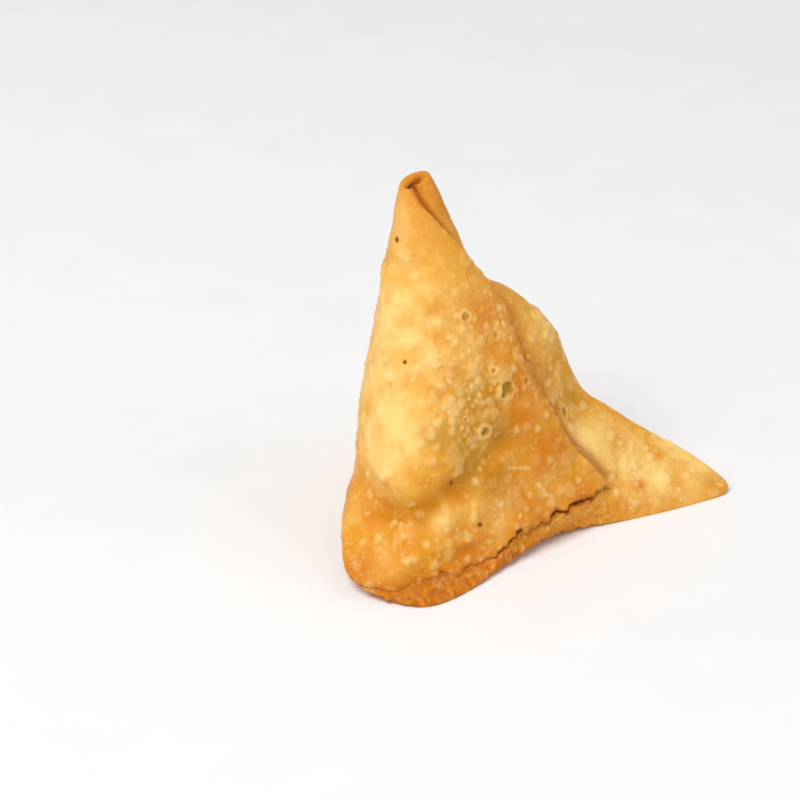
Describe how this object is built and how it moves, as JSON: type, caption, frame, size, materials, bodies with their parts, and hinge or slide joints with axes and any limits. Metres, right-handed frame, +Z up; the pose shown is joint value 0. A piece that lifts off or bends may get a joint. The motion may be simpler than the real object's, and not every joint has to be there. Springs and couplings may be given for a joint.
{
  "type": "samosa",
  "caption": "Whole deep-fried samosa standing on its sealed base, with a lapped front flap, a rolled tip and a blistered crust.",
  "frame": {"origin": "on the flat base, under the middle of the samosa's outline", "axes": "+Z up towards the rolled tip; +X towards the pointed corner; -Y is the front face with the lapped flap"},
  "size_m": [0.0834, 0.0529, 0.0736],
  "materials": {
    "crust": "satin"
  },
  "bodies": {
    "root": {"samosa": "crust"}
  },
  "joints": []
}
